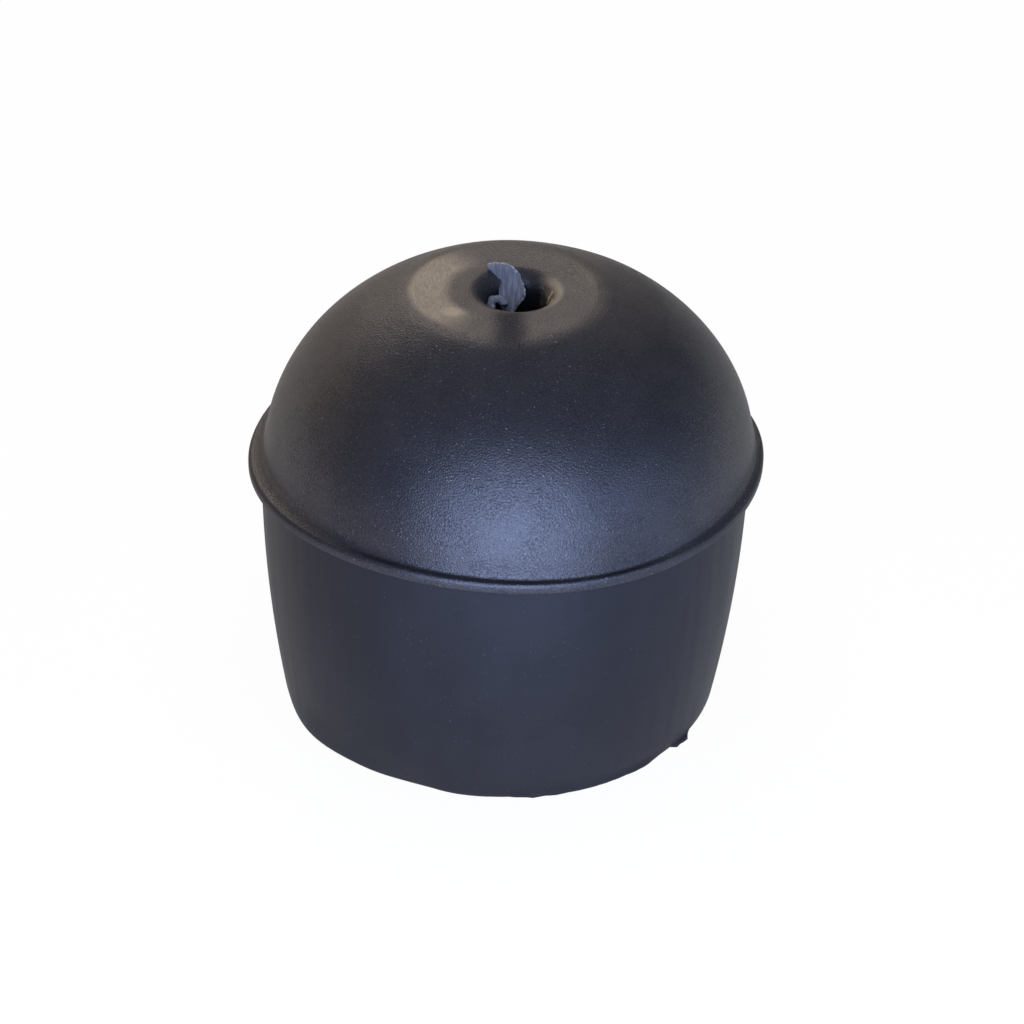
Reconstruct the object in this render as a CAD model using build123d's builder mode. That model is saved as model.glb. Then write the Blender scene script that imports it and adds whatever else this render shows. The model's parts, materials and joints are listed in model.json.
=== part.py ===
"""Domed end cap for a round steel tube: one moulding in soft black plastic.

The plug goes into the tube, the thin flange stops on the tube's rim and the head closes it off.
The part stands on its open rim at z = 0, with its axis on +Z. All sizes are in millimetres.
"""
from build123d import *
from math import acos, asin, atan2, cos, degrees, sin, sqrt
import os

os.makedirs("parts", exist_ok=True)

# Tube that the cap closes
tube_diameter = 60.3        # outside of the tube, which the flange covers
plug_diameter = 57.2        # tight in the tube's bore

# Plug: a straight land under the flange, then a gentle barrel taper down to the open rim
plug_depth = 30.9           # from the flange's underside to the rim
land_length = 3.0
plug_taper = 2.25           # the open rim is smaller than the land by this all round
wall = 3.0
rim_rounding = 1.0          # outer corner of the rim
mouth_rounding = 0.6        # inner corner of the rim

# Stop flange
flange_thickness = 0.8

# Head: half an ellipse that springs from the flange, with a nearly flat crown
head_overhang = 0.1         # how far the head's foot stands outside the plug
head_rise = 23.6            # height of the whole half ellipse over the flange's underside
crown_radius = 12.2         # where the ellipse breaks into the crown
crown_dish = 0.45           # the crown dips this far towards the gate well
crown_softness = 3.0        # radius of the break

# Gate well: the blind hole where the plastic entered the mould
well_radius = 4.4
well_depth = 7.6            # from the crown's edge to the floor
well_wall = 2.0             # skin of the boss round the well and under its floor
well_draft = 0.4            # the floor's radius is smaller than the mouth's by this
well_lip = 2.1              # soft lip at the mouth
well_floor_rounding = 0.9
boss_rounding = 0.9         # at the root and round the end of the boss that carries the well

# Torn sprue: a thin tongue of plastic left standing in the well, leaning on the lip behind it.
# Reaches are left and right of the well's axis, and drops are measured down the tongue.
tongue_thickness = 0.7
tip_reach = 3.2             # torn tip, hooked over the lip on the left
tip_drop = 0.5
crest_reach = 0.4           # top of the tongue, to the left
crest_drop = 0.2
shoulder_reach = 1.6        # widest point, to the right
shoulder_drop = 3.1
waist_reach = 1.7           # left edge level with the shoulder
stem_drop = 5.2             # where the tongue narrows into its stem
stem_width = 1.7
stem_right = 0.3            # the stem's right edge, to the right of the axis
foot_forward = 1.0          # the foot stands this far in front of the well's axis

# Flash: a trimmed fin that still squares the rim's outer corner at two places
front_fin_start = -106.0    # directions in degrees round the axis, where -90 is the front
front_fin_span = 38.0
side_fin_start = -42.0
side_fin_span = 11.0

# Levels and radii that follow from the sizes above
flange_radius = tube_diameter / 2
plug_radius = plug_diameter / 2
rim_radius = plug_radius - plug_taper
head_radius = plug_radius + head_overhang
flange_top = plug_depth + flange_thickness
flange_rounding = 0.45 * flange_thickness  # leaves a narrow flat round the edge
land_end = plug_depth - land_length
foot_angle = degrees(asin(flange_thickness / head_rise))
crown_angle = degrees(acos(crown_radius / head_radius))
crown_level = plug_depth + head_rise * sqrt(1 - (crown_radius / head_radius) ** 2)
well_floor = crown_level - well_depth

# The taper is one arc, tangent to the land above it
taper_radius = (land_end**2 + plug_taper**2) / (2 * plug_taper)
taper_centre = plug_radius - taper_radius

# The hollow keeps one wall thickness behind the plug and the head
hollow_radius = plug_radius - wall
hollow_rise = head_rise - wall
hollow_ceiling = crown_level - crown_dish - wall
hollow_crown_angle = degrees(asin((hollow_ceiling - plug_depth) / hollow_rise))
hollow_taper_radius = taper_radius - wall
mouth_radius = taper_centre + sqrt(hollow_taper_radius**2 - land_end**2)
boss_radius = well_radius + well_wall
boss_level = well_floor - well_wall

# The tongue leans from its foot on the well's floor to the middle of the lip behind it
lean_back = well_radius + well_lip / 3
tongue_slant = atan2(well_depth, lean_back + foot_forward)
tongue_length = well_depth / sin(tongue_slant)
tongue_plane = Plane(
    origin=(0, lean_back, crown_level),
    x_dir=(1, 0, 0),
    z_dir=(0, -sin(tongue_slant), cos(tongue_slant)),
)

with BuildPart() as end_cap:
    # Half section through the moulding: the outside from the foot of the plug up to the gate
    # well, less the hollow with the boss that carries the well
    with BuildSketch(Plane.XZ) as section:
        with BuildLine() as outside:
            foot = Line((0, 0), (rim_radius, 0))
            TangentArc((plug_radius, land_end), foot @ 1, tangent=(0, -1))
            land = Line((plug_radius, land_end), (plug_radius, plug_depth))
            underside = Line(land @ 1, (flange_radius, plug_depth))
            edge = Line(underside @ 1, (flange_radius, flange_top))
            head = EllipticalCenterArc(
                (0, plug_depth), head_radius, head_rise,
                start_angle=foot_angle, arc_size=crown_angle - foot_angle,
            )
            Line(edge @ 1, head @ 0)
            crown = Line(head @ 1, (well_radius, crown_level - crown_dish))
            well = Line(crown @ 1, (well_radius - well_draft, well_floor))
            floor = Line(well @ 1, (0, well_floor))
            Line(floor @ 1, (0, 0))
        make_face()
        with BuildLine() as hollow:
            mouth = Line((0, 0), (mouth_radius, 0))
            TangentArc((hollow_radius, land_end), mouth @ 1, tangent=(0, -1))
            Line((hollow_radius, land_end), (hollow_radius, plug_depth))
            vault = EllipticalCenterArc(
                (0, plug_depth), hollow_radius, hollow_rise,
                start_angle=0, arc_size=hollow_crown_angle,
            )
            ceiling = Line(vault @ 1, (boss_radius, hollow_ceiling))
            boss = Line(ceiling @ 1, (boss_radius - well_draft, boss_level))
            boss_end = Line(boss @ 1, (0, boss_level))
            Line(boss_end @ 1, (0, 0))
        make_face(mode=Mode.SUBTRACT)
        for corner, rounding in (
            (foot @ 1, rim_rounding),
            (mouth @ 1, mouth_rounding),
            (edge @ 0, flange_rounding),
            (edge @ 1, flange_rounding),
            (head @ 1, crown_softness),
            (crown @ 1, well_lip),
            (well @ 1, well_floor_rounding),
            (ceiling @ 1, boss_rounding),
            (boss @ 1, boss_rounding),
        ):
            fillet(section.vertices().sort_by_distance(corner)[0], rounding)
    revolve(axis=Axis.Z)

    # Torn sprue, drawn on the slanting plane in which the tongue stands
    with BuildSketch(tongue_plane) as torn_outline:
        with BuildLine() as tongue_line:
            torn_edge = ThreePointArc(
                (-tip_reach, -tip_drop), (-crest_reach, -crest_drop), (shoulder_reach, -shoulder_drop)
            )
            ragged_edge = Line(torn_edge @ 1, (stem_right, -stem_drop))
            stem = Line(ragged_edge @ 1, (stem_right, -tongue_length))
            base = Line(stem @ 1, (stem_right - stem_width, -tongue_length))
            back = Line(base @ 1, (stem_right - stem_width, -stem_drop))
            waist = Line(back @ 1, (-waist_reach, -shoulder_drop))
            TangentArc(waist @ 1, torn_edge @ 0, tangent=waist % 1)
        make_face()
    extrude(amount=tongue_thickness / 2, both=True)

    # Flash fins on the rim's outer corner
    for start, span in ((front_fin_start, front_fin_span), (side_fin_start, side_fin_span)):
        with BuildSketch(Plane.XZ.rotated((0, 0, start))) as fin:
            with Locations((rim_radius - rim_rounding / 2, rim_rounding / 2)):
                Rectangle(rim_rounding, rim_rounding)
        revolve(axis=Axis.Z, revolution_arc=span)

end_cap.part.label = "end_cap"
export_step(end_cap.part, "parts/end_cap.step")
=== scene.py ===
import bmesh
import bpy
import json
from math import acos, asin, atan2, cos, exp, pi, radians, sin, sqrt, tan
from mathutils import Matrix, Vector, noise


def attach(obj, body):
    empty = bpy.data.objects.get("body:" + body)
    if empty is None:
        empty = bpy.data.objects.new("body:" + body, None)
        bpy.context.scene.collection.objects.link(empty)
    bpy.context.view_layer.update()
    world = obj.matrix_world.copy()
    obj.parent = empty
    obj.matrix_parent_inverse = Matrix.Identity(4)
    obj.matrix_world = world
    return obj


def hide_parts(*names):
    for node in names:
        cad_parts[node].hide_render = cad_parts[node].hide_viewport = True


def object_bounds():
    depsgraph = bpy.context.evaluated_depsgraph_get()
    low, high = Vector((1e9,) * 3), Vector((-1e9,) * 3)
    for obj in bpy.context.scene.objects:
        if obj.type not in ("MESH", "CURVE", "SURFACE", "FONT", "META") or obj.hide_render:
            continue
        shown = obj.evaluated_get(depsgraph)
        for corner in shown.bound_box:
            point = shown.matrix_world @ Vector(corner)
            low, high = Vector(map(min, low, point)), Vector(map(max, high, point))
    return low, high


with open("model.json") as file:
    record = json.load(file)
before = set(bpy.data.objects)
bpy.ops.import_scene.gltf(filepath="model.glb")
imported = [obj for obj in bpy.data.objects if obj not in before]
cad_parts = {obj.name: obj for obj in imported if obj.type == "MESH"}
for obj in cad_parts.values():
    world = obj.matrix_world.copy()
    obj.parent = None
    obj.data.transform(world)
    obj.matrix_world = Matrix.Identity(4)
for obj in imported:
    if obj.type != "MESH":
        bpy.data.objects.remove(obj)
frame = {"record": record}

cad_low, cad_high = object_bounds()
scene = bpy.context.scene
scene.view_settings.view_transform = "Standard"

# ---------------------------------------------------------------------------------------------
# Camera: a long lens close to the cap, looking down on its head at about thirty degrees and
# held slightly out of level.
mm = 0.001                      # the scene is in metres
camera_place = Vector((0.0, -258.9, 185.8)) * mm
camera_aim = Vector((0.85, 0.0, 22.4)) * mm
camera_roll = radians(0.85)
lens_length = 90.3
film_width = 36.0

camera = bpy.data.objects.new("camera", bpy.data.cameras.new("camera"))
camera.data.lens = lens_length
camera.data.sensor_width = film_width
camera.location = camera_place
level_view = (camera_aim - camera_place).to_track_quat("-Z", "Y").to_matrix()
camera.rotation_euler = (level_view @ Matrix.Rotation(camera_roll, 3, "Z")).to_euler()
scene.collection.objects.link(camera)
scene.camera = camera

# ---------------------------------------------------------------------------------------------
# Studio: a white table that keeps the cap's shadow, grey-blue walls under a dim ceiling and a
# warmer wall behind on the left. Cool soft boxes stand low in front and warm ones behind, and a
# large one overhead fills the shadows.
table_reach = 3.0
white = (1.0, 1.0, 1.0, 1.0)
table_white = (0.9, 0.9, 0.9, 1.0)
table_own_light = 0.96          # share of the table's white that needs no lamp

# The camera sees the table white. In the cap's reflections its near side has painted shade and
# its left side painted warm light.
painted_shade_near = (0.61, 0.68, 0.92, 1.0)
painted_shade_near_left = (0.60, 0.54, 0.58, 1.0)
painted_warm_far_left = (1.0, 0.93, 0.88, 1.0)
near_fade = (-0.085, 0.035)     # from the near side to the far side
near_spread = 0.5               # the near side reaches back by this share of the way sideways
warm_fade = (-0.12, 0.03)       # from the left to the right

wall_grey = (0.16, 0.18, 0.24, 1.0)
warm_wall = (0.42, 0.33, 0.27, 1.0)
warm_way = (-0.55, 0.83, 0.0)   # where the warm wall stands
warm_spread = (0.1, 0.95)       # how squarely a direction faces it
ceiling_grey = (0.19, 0.185, 0.205, 1.0)
ceiling_fade = (sin(radians(14)), sin(radians(34)))     # heights from wall to ceiling

floor_mesh = bmesh.new()
bmesh.ops.create_grid(floor_mesh, x_segments=1, y_segments=1, size=table_reach)
table = bpy.data.objects.new("table", bpy.data.meshes.new("table"))
floor_mesh.to_mesh(table.data)
floor_mesh.free()
scene.collection.objects.link(table)


class Socket:
    """A socket of a material, used in plain arithmetic. Its node method adds every node."""

    def __init__(self, tree, source=None):
        self.tree = tree
        self.source = source

    def node(self, kind, values=None, output=0, **settings):
        """Adds a node: its settings first, then the values or links of its sockets."""
        made = self.tree.nodes.new(kind)
        for name, value in settings.items():
            setattr(made, name, value)
        for name, value in (values or {}).items():
            if isinstance(value, Socket):
                self.tree.links.new(value.source, made.inputs[name])
            else:
                made.inputs[name].default_value = value
        return Socket(self.tree, made.outputs[output] if made.outputs else None)

    def maths(self, operation, first, second=0.0):
        return self.node("ShaderNodeMath", {0: first, 1: second}, operation=operation)

    def __add__(self, other):
        return self.maths("ADD", self, other)

    def __radd__(self, other):
        return self.maths("ADD", other, self)

    def __sub__(self, other):
        return self.maths("SUBTRACT", self, other)

    def __rsub__(self, other):
        return self.maths("SUBTRACT", other, self)

    def __mul__(self, other):
        return self.maths("MULTIPLY", self, other)

    def __rmul__(self, other):
        return self.maths("MULTIPLY", other, self)

    def between(self, low, high):
        """0 below low, 1 above high and a smooth step from one to the other."""
        return self.node(
            "ShaderNodeMapRange",
            {"Value": self, "From Min": low, "From Max": high},
            interpolation_type="SMOOTHSTEP",
        )

    def along(self, axis):
        """One coordinate of a place or a direction."""
        return self.node("ShaderNodeSeparateXYZ", {0: self}, output=axis)

    def stretch(self, shares):
        """A place on which a pattern runs long in the directions with a small share."""
        return self.node("ShaderNodeVectorMath", {0: self, 1: shares}, operation="MULTIPLY")

    def grain(self, size, detail=2.0):
        """A noise from 0 to 1 on a place, whose lumps are about so large."""
        return self.node(
            "ShaderNodeTexNoise", {"Vector": self, "Scale": 1.0 / size, "Detail": detail}
        )

    def blend(self, mask, first, second):
        """One colour where the mask is 0 and the other where it is 1, on sockets 6 and 7."""
        return self.node(
            "ShaderNodeMix",
            {"Factor": mask, 6: first, 7: second},
            output=2,
            data_type="RGBA",
        )


def emptied(owner):
    """Clears the nodes of a material or of the world, and returns its tree to add others to."""
    owner.use_nodes = True
    owner.node_tree.nodes.clear()
    return Socket(owner.node_tree)


white_top = bpy.data.materials.new("white_table")
paper = emptied(white_top)
straight, mirror, through = [
    paper.node("ShaderNodeLightPath", output=ray)
    for ray in ("Is Camera Ray", "Is Glossy Ray", "Is Transmission Ray")
]
lit = paper.node("ShaderNodeBsdfDiffuse", {"Color": table_white})
on_table = paper.node("ShaderNodeTexCoord", output="Object")
rightward = on_table.along("X")
backward = on_table.along("Y")
behind = backward - near_spread * paper.maths("ABSOLUTE", rightward)
to_right = rightward.between(*warm_fade)
# Seen only in reflections: painted shade on the near side and painted warm light on the left.
far_row = paper.blend(to_right, painted_warm_far_left, white)
near_row = paper.blend(to_right, painted_shade_near_left, painted_shade_near)
painted_mirror_colour = paper.blend(behind.between(*near_fade), near_row, far_row)
glow_colour = paper.blend(mirror, white, painted_mirror_colour)
glow = paper.node("ShaderNodeEmission", {"Color": glow_colour, "Strength": 1.0})
share = table_own_light * paper.maths("MINIMUM", straight + mirror + through, 1.0)
table_top = paper.node("ShaderNodeMixShader", {0: share, 1: lit, 2: glow})
paper.node("ShaderNodeOutputMaterial", {"Surface": table_top})
table.data.materials.append(white_top)

scene.world = bpy.data.worlds.new("studio")
sky = emptied(scene.world)
direction = sky.node("ShaderNodeTexCoord", output="Generated")
height = direction.along("Z")
facing = sky.node(
    "ShaderNodeVectorMath", {0: direction, 1: warm_way}, output="Value", operation="DOT_PRODUCT"
)
walls = sky.blend(facing.between(*warm_spread), wall_grey, warm_wall)
room = sky.blend(height.between(*ceiling_fade), walls, ceiling_grey)
to_camera = sky.node("ShaderNodeLightPath", output="Is Camera Ray")
backdrop = sky.blend(to_camera, room, white)    # the camera sees it as white as the table
background = sky.node("ShaderNodeBackground", {"Color": backdrop})
sky.node("ShaderNodeOutputWorld", {"Surface": background})


def soft_box(name, place, aim, width, height, strength, colour):
    """A lamp panel of a given brightness, where 1 is as bright as white paper."""
    panel = bpy.data.lights.new(name, "AREA")
    panel.shape = "RECTANGLE"
    panel.size = width
    panel.size_y = height
    panel.energy = strength * pi * width * height
    panel.color = colour
    lamp = bpy.data.objects.new(name, panel)
    lamp.location = place
    lamp.rotation_euler = (Vector(aim) - Vector(place)).to_track_quat("-Z", "Y").to_euler()
    lamp.visible_camera = False
    scene.collection.objects.link(lamp)
    return lamp


soft_box(
    "front_box", place=(0.003, -0.105, 0.056), aim=(0.003, 0, 0.056),
    width=0.102, height=0.107, strength=5.1, colour=(0.46, 0.58, 1.0),
)
soft_box(
    "side_box", place=(0.115, -0.095, 0.064), aim=(0.01, 0, 0.044),
    width=0.09, height=0.06, strength=1.9, colour=(0.42, 0.55, 1.0),
)
soft_box(
    "back_box", place=(-0.10, 0.44, 0.30), aim=(0, 0, 0.05),
    width=0.36, height=0.3, strength=1.9, colour=(1.0, 0.85, 0.74),
)
soft_box(
    "back_left_box", place=(-0.36, 0.30, 0.20), aim=(0, 0, 0.05),
    width=0.16, height=0.2, strength=0.6, colour=(1.0, 0.78, 0.56),
)
top_box = soft_box(
    "top_box", place=(0, 0, 0.6), aim=(0, 0, 0),
    width=0.6, height=0.6, strength=2.4, colour=(0.94, 0.95, 1.0),
)
top_box.visible_glossy = False  # it leaves no reflection

# ---------------------------------------------------------------------------------------------
# Moulding: plug, stop flange and domed head in one, injection moulded in soft black plastic.
# Its half section is drawn once from the middle of the hollow, round the open rim and over the
# head to the floor of the gate well, and turned round the axis.
inside_solid = 0.01 * mm        # the drawn flange stays this far inside the plain solid's
flange_radius = cad_high.x - inside_solid
plug_land = frame["record"]["mounts"][0]
tube_stop = frame["record"]["mounts"][1]
plug_radius = plug_land["dims"]["r_mm"] * mm
land_length = plug_land["dims"]["length_mm"] * mm
plug_depth = tube_stop["pos_m"][2]
plug_taper = 2.25 * mm          # the open rim is smaller than the land by this all round
wall = 3.0 * mm
flange_thickness = 1.25 * mm
head_overhang = 0.1 * mm        # the head's foot stands this far outside the plug
head_rise = 23.6 * mm           # the whole half ellipse, over the flange's underside
crown_radius = 12.2 * mm        # where the ellipse breaks into the crown
crown_dish = 0.35 * mm          # the crown dips this far towards the gate well
well_radius = 4.1 * mm
well_depth = 7.6 * mm
well_wall = 2.0 * mm            # skin of the boss round the well and under its floor
well_draft = 0.4 * mm           # the well is this much narrower at its floor

rim_rounding = 0.75 * mm
mouth_rounding = 0.6 * mm
flange_top_rounding = 0.5 * mm
flange_edge_rounding = 0.2 * mm
foot_fillet = 0.5 * mm
crown_softness = 6.0 * mm
well_lip = 2.1 * mm
floor_rounding = 0.9 * mm
boss_rounding = 0.9 * mm

long_side = 2.0 * mm            # straight sides over this length get cuts, so that they can warp
long_side_cuts = 5
steps_round = 240
weld = 0.001 * mm               # anything closer together is at one place

rim_radius = plug_radius - plug_taper
head_radius = plug_radius + head_overhang
flange_top = plug_depth + flange_thickness
land_end = plug_depth - land_length
crown_level = plug_depth + head_rise * sqrt(1 - (crown_radius / head_radius) ** 2)
well_floor = crown_level - well_depth
taper_radius = (land_end**2 + plug_taper**2) / (2 * plug_taper)
taper_centre = plug_radius - taper_radius
taper_turn = asin(land_end / taper_radius)
mouth_turn = asin(land_end / (taper_radius - wall))
hollow_radius = plug_radius - wall
hollow_rise = head_rise - wall
hollow_ceiling = crown_level - crown_dish - wall
vault_angle = asin((hollow_ceiling - plug_depth) / hollow_rise)
boss_radius = well_radius + well_wall
boss_level = well_floor - well_wall
foot_angle = asin(flange_thickness / head_rise)
break_turn = radians(3.4)       # the head's first and last steps hold the fillet and the break
head_turn = acos(crown_radius / head_radius) - foot_angle - 2 * break_turn

cap = bmesh.new()


def side(start, radius, level):
    """Draws a straight side of the half section."""
    end = bmesh.ops.extrude_vert_indiv(cap, verts=[start])["verts"][0]
    end.co = (radius, 0, level)
    return end


def swing(start, centre_radius, centre_level, turn, steps):
    """Draws an arc of the half section, from +Z towards +X where the turn is positive."""
    drawn = bmesh.ops.spin(
        cap, geom=[start], cent=(centre_radius, 0, centre_level), axis=(0, 1, 0),
        angle=turn, steps=steps,
    )
    return drawn["geom_last"][0]


def vault(start, radius, rise, turn, steps):
    """Draws an arc of an ellipse that stands on the flange's underside."""
    before = set(cap.verts)
    squash = rise / radius
    start.co.z = plug_depth + (start.co.z - plug_depth) / squash
    end = swing(start, 0, plug_depth, turn, steps)
    drawn = [vert for vert in cap.verts if vert not in before] + [start]
    bmesh.ops.scale(
        cap, vec=(1, 1, squash), space=Matrix.Translation((0, 0, -plug_depth)), verts=drawn
    )
    return end


boss_middle = cap.verts.new((0, 0, boss_level))
boss_edge = side(boss_middle, boss_radius - well_draft, boss_level)
boss_root = side(boss_edge, boss_radius, hollow_ceiling)
vault_top = side(boss_root, hollow_radius * cos(vault_angle), hollow_ceiling)
vault_foot = vault(vault_top, hollow_radius, hollow_rise, vault_angle, steps=30)
inner_land = side(vault_foot, hollow_radius, land_end)
mouth = swing(inner_land, taper_centre, land_end, mouth_turn, steps=14)
rim = side(mouth, rim_radius, 0)
land_foot = swing(rim, taper_centre, land_end, -taper_turn, steps=18)
land_top = side(land_foot, plug_radius, plug_depth)
flange_low = side(land_top, flange_radius, plug_depth)
flange_high = side(flange_low, flange_radius, flange_top)
head_foot = side(flange_high, head_radius * cos(foot_angle), flange_top)
low_head = vault(head_foot, head_radius, head_rise, -break_turn, steps=1)
high_head = vault(low_head, head_radius, head_rise, -head_turn, steps=40)
crown_edge = vault(high_head, head_radius, head_rise, -break_turn, steps=1)
well_mouth = side(crown_edge, well_radius, crown_level - crown_dish)
well_foot = side(well_mouth, well_radius - well_draft, well_floor)
side(well_foot, 0, well_floor)

corner_roundings = (            # corner, radius and number of facets
    (boss_edge, boss_rounding, 6),
    (boss_root, boss_rounding, 6),
    (mouth, mouth_rounding, 5),
    (rim, rim_rounding, 8),
    (flange_low, flange_edge_rounding, 3),
    (flange_high, flange_top_rounding, 8),
    (head_foot, foot_fillet, 8),
    (crown_edge, crown_softness, 12),
    (well_mouth, well_lip, 14),
    (well_foot, floor_rounding, 6),
)
for corner, rounding, facets in corner_roundings:
    # A corner is cut along its two sides, so the cut follows from the radius and their angle.
    ways = [(edge.other_vert(corner).co - corner.co).normalized() for edge in corner.link_edges]
    cut_back = rounding * tan((pi - ways[0].angle(ways[1])) / 2)
    bmesh.ops.bevel(
        cap, geom=[corner], offset=cut_back, segments=facets, profile=0.5,
        affect="VERTICES", material=-1,
    )
long_sides = [edge for edge in cap.edges if edge.calc_length() > long_side]
bmesh.ops.subdivide_edges(cap, edges=long_sides, cuts=long_side_cuts)

bmesh.ops.spin(
    cap, geom=cap.verts[:] + cap.edges[:], cent=(0, 0, 0), axis=(0, 0, 1),
    angle=2 * pi, steps=steps_round, use_merge=True,
)
bmesh.ops.remove_doubles(cap, verts=cap.verts, dist=weld)
bmesh.ops.recalc_face_normals(cap, faces=cap.faces)

# ---------------------------------------------------------------------------------------------
# Flash: plastic that crept out of the mould at the rim's outer corner, in front and to the right
# of it, and was trimmed by hand. It fills much of the corner's rounding, and stands a little
# proud of it on the right.
flash_stretches = (             # bearing, half span and share of the rounding that is filled
    (-95, 12, 0.6),
    (-65, 22, 1.35),
    (-35, 4, 1.9),
)
flash_end = 0.25                # each stretch dies away over this share of its half span
flash_rag = 0.2                 # how uneven its edge is
rags_per_radian = 18


def around(vert):
    """Distance of a vertex from the cap's axis, and its bearing round it."""
    return sqrt(vert.co.x**2 + vert.co.y**2), atan2(vert.co.y, vert.co.x)


def off_middle(angle, middle, half_span):
    """How far a bearing is from the middle of a stretch, where 1 is the stretch's end."""
    return abs((angle - radians(middle) + pi) % (2 * pi) - pi) / radians(half_span)


def push_out(vert, angle, distance):
    """Moves a vertex away from the cap's axis."""
    vert.co.x += distance * cos(angle)
    vert.co.y += distance * sin(angle)


for vert in cap.verts:
    radius, angle = around(vert)
    if radius <= rim_radius - rim_rounding or vert.co.z >= rim_rounding:
        continue
    for middle, half_span, filled in flash_stretches:
        off = off_middle(angle, middle, half_span)
        if off < 1:
            keep = min(1, (1 - off) / flash_end)
            rag = noise.noise(Vector((rags_per_radian * angle, 0, middle)))
            ragged = 1 - flash_rag + flash_rag * rag
            at_foot = 1 - (vert.co.z / rim_rounding) ** 2
            proud = max(0.0, filled - 1) * rim_rounding * at_foot
            to_corner = min(filled, 1.0) * (rim_radius - radius)
            push_out(vert, angle, keep * ragged * (to_corner + proud))

# ---------------------------------------------------------------------------------------------
# Torn sprue: the tongue of plastic that stayed when the gate was snapped off. It leans from the
# well's floor on the lip behind, with a hooked tip and a small curl torn loose beside its foot.
tongue_thickness = 0.5 * mm
tongue_foot = 1.0 * mm          # the foot stands this far in front of the well's axis
tongue_left = 0.45 * mm         # it stands this far to the left in the well
tip_reach = 3.2 * mm            # reaches are left and right of the tongue's own middle
crest_reach = 1.4 * mm
shoulder_reach = 1.6 * mm
waist_reach = 1.75 * mm
stem_left = 1.35 * mm
stem_right = 0.3 * mm
hook_drop = (0.6 * mm, 1.8 * mm)    # drops are down the tongue, and the hook narrows over these
shoulder_drop = 3.1 * mm
stem_drop = 5.2 * mm
crest_bow = 0.7                 # the smaller, the fuller the curve from crest to shoulder
tip_sag = 0.7 * mm              # the hooked tip hangs this much lower than the crest
sag_width = 0.45                # share of the width that sags
tip_bend = 1.1 * mm             # the tip bends back over the lip
bend_drop = 3.4 * mm
lip_gap = 0.05 * mm             # under the tip, where it rests on the lip

edge_tear = 0.16 * mm           # how ragged the sides are
top_tear = 0.12 * mm
top_tear_drop = 0.8 * mm
tear_size = 0.35 * mm
tears_across = 5
ridge_height = 0.1 * mm         # ridges that the tearing drew on the tongue's faces
ridges_across = 9
ridges_down = 0.6 / mm
edge_sharpness = 6              # the larger, the narrower the torn edge
edge_thinning = 0.7
thin_side = (0.85, 1.0)         # share of the width over which it turns thin on the right
thin_top_drop = 0.5 * mm

curl_radius = 0.8 * mm
curl_thickness = 1.0 * mm
curl_depth = 1.1 * mm
curl_turn = radians(230)
curl_steps = 24
curl_unevenness = 0.3
ripples_per_radian = 1.3
curl_flatness = 0.85
curl_paleness = 0.45
curl_place = (-1.9 * mm, -4.5 * mm, 0.5 * mm)   # on the tongue: across, up and in front

lean_back = well_radius + well_lip / 3
tongue_slant = atan2(well_depth, lean_back + tongue_foot)
tongue_length = well_depth / sin(tongue_slant)
tongue_stand = Matrix.Translation((0, lean_back, crown_level)) @ Matrix.Rotation(
    tongue_slant, 4, "X"
)


def step(value, low, high):
    """0 below low, 1 above high and a smooth step from one to the other."""
    share = min(1.0, max(0.0, (value - low) / (high - low)))
    return share * share * (3 - 2 * share)


# A flat slab one unit wide, long and thick, whose vertices then move to the tongue's outline. The
# last number of each noise picks its pattern.
tongue = bmesh.new()
thin = tongue.verts.layers.float.new("thin")
in_front = tongue.verts.layers.float.new("in_front")
bmesh.ops.create_grid(tongue, x_segments=16, y_segments=60, size=0.5)
raised = bmesh.ops.extrude_face_region(tongue, geom=tongue.faces[:])
front_verts = [item for item in raised["geom"] if isinstance(item, bmesh.types.BMVert)]
bmesh.ops.translate(tongue, vec=(0, 0, 1), verts=front_verts)
for vert in tongue.verts:
    across = vert.co.x + 0.5
    drop = (0.5 - vert.co.y) * tongue_length
    facing_front = vert.co.z - 0.5
    to_stem = step(drop, shoulder_drop, stem_drop)
    hook = 1 - step(drop, *hook_drop)
    left = -waist_reach - (tip_reach - waist_reach) * hook + (waist_reach - stem_left) * to_stem
    climb = 1 - min(1.0, drop / shoulder_drop)
    right = -crest_reach + (shoulder_reach + crest_reach) * (1 - climb**2) ** crest_bow
    right += (stem_right - shoulder_reach) * to_stem
    tear = noise.noise(Vector((tears_across * across, drop / tear_size, 3.0)))
    ridge = noise.noise(Vector((ridges_across * across, ridges_down * drop, 7.0)))
    at_edge = abs(2 * across - 1) ** edge_sharpness
    reach = left + (right - left) * across + edge_tear * tear * at_edge
    up = top_tear * tear * (1 - step(drop, 0, top_tear_drop)) - drop
    sag = (1 - min(1.0, across / sag_width)) ** 2 * (1 - step(drop, 0, shoulder_drop))
    up -= tip_sag * sag
    bend = tip_bend * (1 - min(1.0, drop / bend_drop)) ** 2
    thick = tongue_thickness * (1 - edge_thinning * at_edge)
    face_out = facing_front * thick + ridge_height * ridge
    vert.co = (reach, up + bend * cos(tongue_slant), face_out - bend * sin(tongue_slant))
    vert[thin] = max(step(across, *thin_side), 1 - step(drop, 0, thin_top_drop))
    vert[in_front] = facing_front + 0.5

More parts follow.
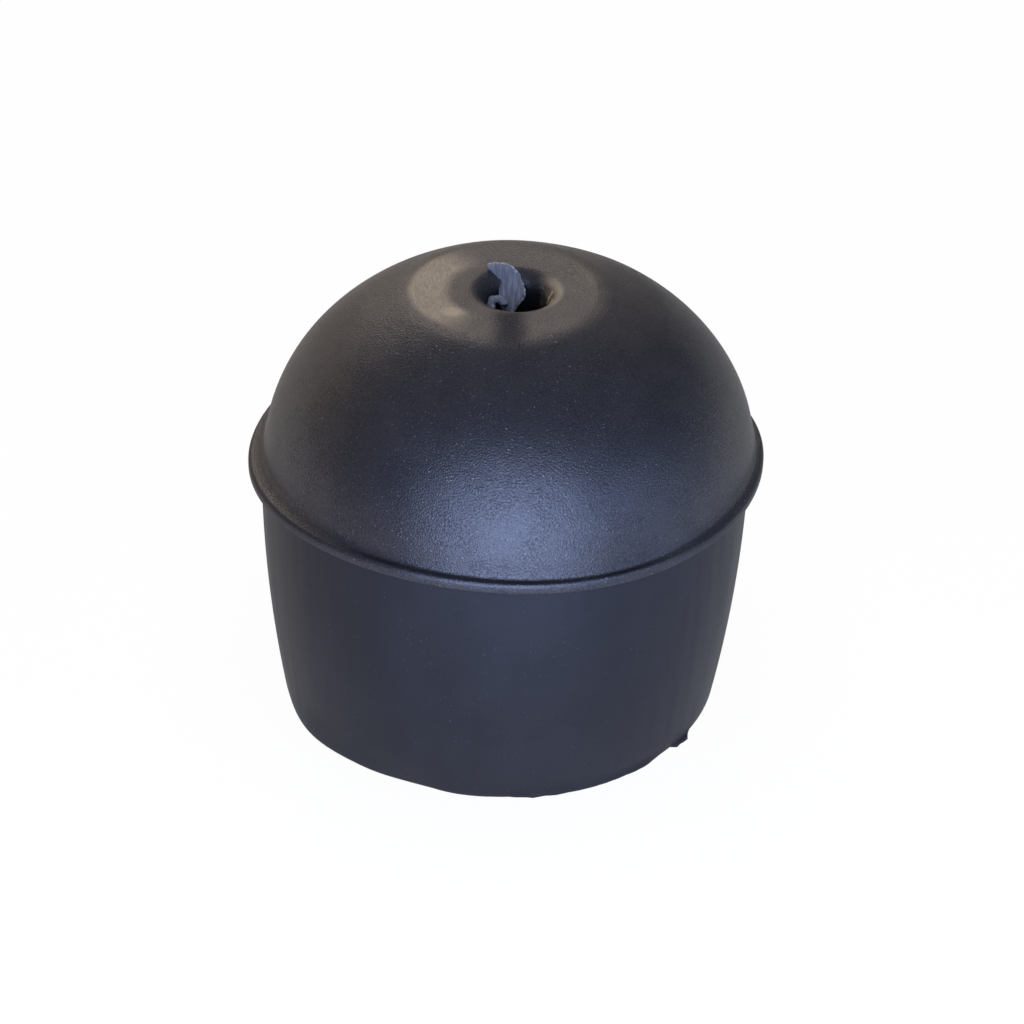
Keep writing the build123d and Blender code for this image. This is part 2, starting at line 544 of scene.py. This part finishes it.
# The curl is the cross section of a strip, swung round in front of the tongue.
strip = bmesh.ops.create_grid(tongue, x_segments=1, y_segments=1, size=0.5)["verts"]
bmesh.ops.scale(tongue, vec=(curl_thickness, curl_depth, 1), verts=strip)
bmesh.ops.translate(tongue, vec=(curl_radius, 0, 0), verts=strip)
bmesh.ops.rotate(tongue, matrix=Matrix.Rotation(pi / 2, 3, "X"), cent=(0, 0, 0), verts=strip)
strip_face = [face for face in tongue.faces if set(face.verts) == set(strip)]
tongue_verts = set(tongue.verts) - set(strip)
bmesh.ops.spin(
    tongue, geom=strip_face, cent=(0, 0, 0), axis=(0, 0, 1), angle=curl_turn, steps=curl_steps,
)
curl = [vert for vert in tongue.verts if vert not in tongue_verts]
for vert in curl:
    turned = atan2(vert.co.y, vert.co.x)
    ripple = noise.noise(Vector((ripples_per_radian * turned, vert.co.z / curl_depth, 5.0)))
    uneven = 1 + curl_unevenness * ripple
    vert.co.x *= uneven
    vert.co.y *= uneven * curl_flatness
bmesh.ops.translate(tongue, vec=curl_place, verts=curl)
for vert in curl:
    outer_half = step(vert.co.z, curl_place[2], curl_place[2] + curl_depth / 2)
    vert[thin] = curl_paleness * outer_half

# The tongue stands in the well, and its tip lies on the lip.
bmesh.ops.transform(tongue, matrix=tongue_stand, verts=tongue.verts)
lip_foot = crown_level - crown_dish - well_lip
for vert in tongue_verts:
    over_lip = well_lip - max(0.0, well_radius + well_lip - around(vert)[0])
    if over_lip > 0:
        lip_level = lip_foot + sqrt(well_lip**2 - (well_lip - over_lip) ** 2)
        vert.co.z = max(vert.co.z, lip_level + lip_gap + tongue_thickness * vert[in_front])
bmesh.ops.translate(tongue, vec=(-tongue_left, 0, 0), verts=tongue.verts)
bmesh.ops.recalc_face_normals(tongue, faces=tongue.faces)
for face in tongue.faces:
    face.material_index = 1

torn = bpy.data.meshes.new("torn_sprue")
tongue.to_mesh(torn)
tongue.free()
cap.from_mesh(torn)
bpy.data.meshes.remove(torn)

# ---------------------------------------------------------------------------------------------
# Warp: the faults of one copy. It cooled with a slight lean, a flange that waves three times
# round, a crown and well off the axis and an uneven rim, and its flange was trimmed at two
# places. Where the grain goes is marked first, and moves with the mesh.
grain_start = 0.1 * mm          # below the flange's underside
edge_grain = 0.3                # what the flange's edge keeps of the grain, but for its front
grained_front = (0.6, 0.9)      # from how far forward, where 1 is straight in front

flange_wave = 0.397 * mm
wave_reach = 9.0 * mm           # the wave fades over this height
lean = 0.0147                   # sideways, as a share of the height
head_shift = 0.33 * mm          # the head stands to the right on the flange
foot_bulge = 0.5 * mm           # the head's foot comes this far forward in front
foot_bulge_height = 19 * mm
foot_bulge_front = (0.1, 1.0)   # again from how far forward
side_fillet = 1.15 * mm         # behind and at the sides the fillet at the head's foot is larger
side_fillet_front = (0.72, 0.88)    # where it gives way to the smaller one
fillet_fade = 3.0 * mm
well_shift = (0.45 * mm, 0.4 * mm)
crown_shift = (-0.6 * mm, -0.2 * mm)
well_squeeze = 0.08             # the well and the crown are this much narrower across
crown_squeeze = 0.08
head_start = (5 * mm, 8 * mm)   # levels over the flange's middle where these shifts set in
well_end = (7 * mm, 10 * mm)    # distances from the axis over which they come and go
crown_start = (8 * mm, 11.5 * mm)
crown_end = (13 * mm, 18 * mm)
flange_trims = ((150, 45, 0.45 * mm), (35, 35, 0.25 * mm))      # bearing, half span and depth
rim_swell_height = 5.0 * mm
rim_swells = ((-146, 20, 0.5 * mm), (-112, 16, -0.35 * mm))     # bearing, half span and size

grained = cap.verts.layers.float.new("grained")
for vert in cap.verts:
    vert[grained] = step(vert.co.z, plug_depth - grain_start, plug_depth)
    if around(vert)[0] > flange_radius - flange_top_rounding / 2:
        in_front_share = step(-vert.co.y / flange_radius, *grained_front)
        vert[grained] *= edge_grain + (1 - edge_grain) * in_front_share

half_flange = flange_thickness / 2
for vert in cap.verts:
    radius, angle = around(vert)
    forward = -sin(angle)
    above = vert.co.z - (plug_depth + half_flange)
    near = exp(-((above / wave_reach) ** 2))
    inward = min(1.0, max(0.0, (flange_radius - radius) / (flange_radius - head_radius)))
    on_top = inward * step(above, -half_flange, half_flange)
    in_head = step(above, *head_start)
    at_well = in_head * (1 - step(radius, *well_end))
    at_crown = in_head * step(radius, *crown_start) * (1 - step(radius, *crown_end))
    vert.co.x += lean * above + head_shift * on_top
    vert.co.x += (well_shift[0] - well_squeeze * vert.co.x) * at_well
    vert.co.x += (crown_shift[0] - crown_squeeze * vert.co.x) * at_crown
    vert.co.y += well_shift[1] * at_well + crown_shift[1] * at_crown
    low_down = 1 - min(1.0, max(0.0, above / foot_bulge_height))
    vert.co.y -= foot_bulge * step(forward, *foot_bulge_front) * on_top * low_down**2
    over_top = above - half_flange
    if over_top > -weld and radius > plug_radius - wall / 2:
        from_foot = min(1.0, max(0.0, (radius - head_radius) / side_fillet))
        lift = (side_fillet - foot_fillet) * (1 - from_foot) ** 2
        lift *= 1 - step(over_top, foot_fillet, fillet_fade)
        vert.co.z += lift * (1 - step(forward, *side_fillet_front))
    on_edge = step(radius, head_radius, flange_radius)
    for middle, half_span, depth in flange_trims:
        trim = 1 - step(off_middle(angle, middle, half_span), 0, 1)
        push_out(vert, angle, -depth * trim * on_edge)
    vert.co.z += flange_wave * cos(3 * angle) * near
    if vert.co.z < rim_swell_height and radius > rim_radius - wall:
        at_rim = 1 - step(vert.co.z, 0, rim_swell_height)
        for middle, half_span, swell in rim_swells:
            rise = 1 - step(off_middle(angle, middle, half_span), 0, 1)
            push_out(vert, angle, swell * at_rim * rise)

# ---------------------------------------------------------------------------------------------
# Black plastic: soft polyethylene with a satin skin. The head and flange have a leathery grain
# and more sheen. The pale crown left and well lip are partly wear and partly painted warm
# reflection, the well's right wall has painted warm light and glints, and handling left a rough
# scuff from the well to the crown's front.
deep_black = (0.0055, 0.006, 0.009, 1.0)
dusty_black = (0.011, 0.0115, 0.015, 1.0)
# Painted glints: yellow highlights of the warm light on the well's right wall.
painted_glint_yellow = (0.55, 0.46, 0.24, 1.0)
# Pale tan of wear, also used for painted warm reflection and painted warm light.
tan_wear_and_sheen = (0.24, 0.195, 0.13, 1.0)
speck_blue = (0.26, 0.30, 0.38, 1.0)

# Each pattern's lumps are about so large, and it sets in between its two noise values.
patch_size = 9 * mm
patch_noise = (0.35, 0.7)
leather_size = 0.2 * mm
leather_noise = (0.36, 0.62)
pore_size = 0.12 * mm
pore_noise = (0.62, 0.72)
stroke_size = 0.24 * mm
stroke_noise = (0.3, 0.7)
stroke_run = (1.0, 0.25, 0.25)  # the strokes run backwards and down
drag_size = 1.6 * mm
drag_noise = (0.35, 0.7)
drag_run = (1.0, 1.0, 0.06)     # drag marks run down the plug
painted_glint_size = 0.8 * mm
painted_glint_noise = (0.54, 0.62)
speck_size = 0.2 * mm
speck_noise = (0.73, 0.78)
rub_size = 3 * mm
rub_noise = (0.3, 0.7)

# Each mark starts to show at the first value of a pair and is whole, or has gone, at the second.
# Distances are from the crown's middle if nothing else is said, and sides are radians from due
# left.
crown_middle = (0.3 * mm, 0.0, 0.0)
crown_levels = (crown_level - 2.4 * mm, crown_level - 1.6 * mm)
pale_zone_start = (6.4 * mm, 8.2 * mm)
pale_zone_end = (10.9 * mm, 12.0 * mm)
pale_zone_side = (0.6, 1.2)
lip_start = (4.8 * mm, 5.3 * mm)
lip_end = (5.5 * mm, 6.3 * mm)
lip_side = (2.1, 2.7)
wall_end = (4.6 * mm, 5.2 * mm)
wall_side = (2.3, 2.8)
wall_levels = (crown_level - 4.5 * mm, crown_level - 1.2 * mm)
smear_right = -6.3 * mm
smear_back = -5.6 * mm
smear_end = (0.4 * mm, 1.7 * mm)    # from the smear's own middle
scuff_width = (0.2 * mm, 2.8 * mm)  # to either side
scuff_start = (4.6 * mm, 6.0 * mm)  # forwards
scuff_end = (11 * mm, 15 * mm)

left_paleness = 0.8
stroke_share = 0.4              # of the pale zone on the left, the rest is even
smear_paleness = 0.5
lip_paleness = 0.55
# share of painted warm light on the well's right wall
painted_wall_light_share = 0.45
scuff_strength = 0.62
scuff_dust = 0.5
plug_dust = 0.2
extra_head_dust = 0.3
patch_share = 0.7               # of the dusty look, the rest follows the drag marks

leather_height = 0.1 * mm
least_leather = 0.4             # the grain never gets flatter than this between the patches
pore_share = 0.1
scuff_share = 0.5
bump_strength = 0.8
dull_roughness = 0.53
shiny_roughness = 0.33
patch_roughness = 0.06
drag_roughness = 0.05
scuff_roughness = 0.4
valley_loss = 0.35              # the shine lost between the tops of the grain
rubbed_loss = 0.35              # and what rubbed patches lose there on top of it
grazing_loss = 0.75
grazing_start = (0.3, 0.8)


def length(across, along):
    """Length of the way to a place from its two coordinates."""
    return across.maths("SQRT", across * across + along * along)


black = bpy.data.materials.new("black_plastic")
skin = emptied(black)
place = skin.node("ShaderNodeTexCoord", output="Object")
on_head = skin.node("ShaderNodeAttribute", output="Fac", attribute_name="grained")
patches = place.grain(patch_size, 3.0)
leather = place.grain(leather_size)
pores = place.grain(pore_size)

from_middle = skin.node(
    "ShaderNodeVectorMath", {0: place, 1: crown_middle}, operation="SUBTRACT"
)
up_cap = from_middle.along("Z")
to_side = from_middle.along("X")
to_back = from_middle.along("Y")
on_crown = up_cap.between(*crown_levels)
outward = length(to_side, to_back)
bearing = skin.maths("ABSOLUTE", skin.maths("ARCTAN2", to_back, -1.0 * to_side))

strokes = place.stretch(stroke_run).grain(stroke_size, 4.0)
# The pale patch on the crown's left and the ring on the well's lip to the right are partly wear
# and partly painted reflection of the warm light.
ring = outward.between(*pale_zone_start) * (1 - outward.between(*pale_zone_end))
stroked = (1 - stroke_share) + stroke_share * strokes.between(*stroke_noise)
left_wear_and_sheen = ring * (1 - bearing.between(*pale_zone_side)) * stroked
lip_ring = outward.between(*lip_start) * (1 - outward.between(*lip_end))
lip_wear_and_sheen = lip_ring * bearing.between(*lip_side)
# The tan on the well's right wall is painted warm light falling from behind on the left.
in_well = (1 - outward.between(*wall_end)) * up_cap.between(*wall_levels)
painted_wall_light = in_well * bearing.between(*wall_side)
# Painted glints: yellow highlights of the warm light, in specks on the well's right wall.
painted_glints = painted_wall_light * place.grain(painted_glint_size, 3.0).between(*painted_glint_noise)
smear = 1 - length(to_side - smear_right, to_back - smear_back).between(*smear_end)
pale_wear_and_sheen = left_paleness * left_wear_and_sheen + smear_paleness * smear + lip_paleness * lip_wear_and_sheen
wear_and_painted_light = skin.maths("MINIMUM", on_crown * pale_wear_and_sheen + painted_wall_light_share * painted_wall_light, 1.0)

stripe = (1 - skin.maths("ABSOLUTE", to_side).between(*scuff_width)) * on_crown
stripe_ends = (-1.0 * to_back).between(*scuff_start) * (1 - outward.between(*scuff_end))
scuff = scuff_strength * stripe * stripe_ends

drag = place.stretch(drag_run).grain(drag_size, 3.0).between(*drag_noise) * (1 - on_head)
specks = place.grain(speck_size, 1.0).between(*speck_noise)
specks = specks * (plug_dust + extra_head_dust * on_head)
dust = skin.maths("MAXIMUM", specks, scuff_dust * scuff * pores.between(*pore_noise))
dusty = patch_share * patches.between(*patch_noise) + (1 - patch_share) * drag
surface_colour = skin.blend(dusty, deep_black, dusty_black)
surface_colour = skin.blend(dust, surface_colour, speck_blue)
# The pale tan is partly wear and partly painted warm reflection and light.
surface_colour = skin.blend(wear_and_painted_light, surface_colour, tan_wear_and_sheen)
# The painted glints go on top.
surface_colour = skin.blend(painted_glints, surface_colour, painted_glint_yellow)

relief = leather * on_head * (least_leather + patches) + pore_share * pores
relief = relief + scuff_share * scuff * pores
bumps = skin.node(
    "ShaderNodeBump", {"Height": relief, "Strength": bump_strength, "Distance": leather_height}
)
uneven_skin = patch_roughness * patches + scuff_roughness * scuff
dull = skin.node(
    "ShaderNodeBsdfPrincipled",
    {
        "Base Color": surface_colour,
        "Roughness": dull_roughness + uneven_skin + drag_roughness * drag,
        "IOR": 1.45,
        "Normal": bumps,
    },
)
shiny = skin.node(
    "ShaderNodeBsdfPrincipled",
    {
        "Base Color": surface_colour,
        "Roughness": shiny_roughness + uneven_skin,
        "IOR": 1.8,
        "Normal": bumps,
    },
)

# The shine is whole on the tops of the grain, weaker between them and in the scuff, and fades
# towards the outline.
grazing = skin.node("ShaderNodeLayerWeight", {"Blend": 0.5}, output="Facing")
rubbed = place.grain(rub_size).between(*rub_noise)
valleys = 1 - leather.between(*leather_noise)
polished = 1 - (valley_loss + rubbed_loss * rubbed) * valleys - scuff
square_on = 1 - grazing_loss * grazing.between(*grazing_start)
gloss = on_head * skin.maths("MAXIMUM", polished, 0.0) * square_on
plastic = skin.node("ShaderNodeMixShader", {0: gloss, 1: dull, 2: shiny})
skin.node("ShaderNodeOutputMaterial", {"Surface": plastic})

# ---------------------------------------------------------------------------------------------
# Torn plastic: the same material stretched until it turned pale, streaked along the tear and
# palest where it is thin.
torn_grey = (0.075, 0.085, 0.118, 1.0)
streak_grey = (0.13, 0.145, 0.19, 1.0)
thin_white = (0.28, 0.30, 0.34, 1.0)
streak_size = 0.22 * mm
streak_noise = (0.4, 0.65)
streak_run = (1.0, 0.12, 0.12)  # the streaks run up the tongue
rip_size = 0.25 * mm
rip_noise = (0.35, 0.6)
rip_height = 0.08 * mm
rip_share = 0.6                 # of the rips in the relief, next to the whole streaks
pale_start = (0.2, 0.9)

stretched = bpy.data.materials.new("torn_plastic")
fibre = emptied(stretched)
torn_place = fibre.node("ShaderNodeTexCoord", output="Object")
thinned = fibre.node("ShaderNodeAttribute", output="Fac", attribute_name="thin")
streaks = torn_place.stretch(streak_run).grain(streak_size, 3.0)
rips = torn_place.grain(rip_size, 3.0)
streaked = fibre.blend(streaks.between(*streak_noise), torn_grey, streak_grey)
pale = (thinned * rips.between(*rip_noise)).between(*pale_start)
torn_relief = streaks + rip_share * rips
torn_bumps = fibre.node(
    "ShaderNodeBump",
    {"Height": torn_relief, "Strength": bump_strength, "Distance": rip_height},
)
torn_plastic = fibre.node(
    "ShaderNodeBsdfPrincipled",
    {
        "Base Color": fibre.blend(pale, streaked, thin_white),
        "Roughness": 0.62,
        "IOR": 1.5,
        "Normal": torn_bumps,
    },
)
fibre.node("ShaderNodeOutputMaterial", {"Surface": torn_plastic})

# ---------------------------------------------------------------------------------------------
# Finished cap: the moulding in black plastic with its torn sprue in torn plastic, as one piece.
# It takes the place of the plain solid and rides on its frame.
for face in cap.faces:
    face.smooth = True
end_cap = bpy.data.objects.new("domed_end_cap", bpy.data.meshes.new("domed_end_cap"))
cap.to_mesh(end_cap.data)
cap.free()
scene.collection.objects.link(end_cap)
end_cap.data.materials.append(black)
end_cap.data.materials.append(stretched)
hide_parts("end_cap")
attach(end_cap, "root")
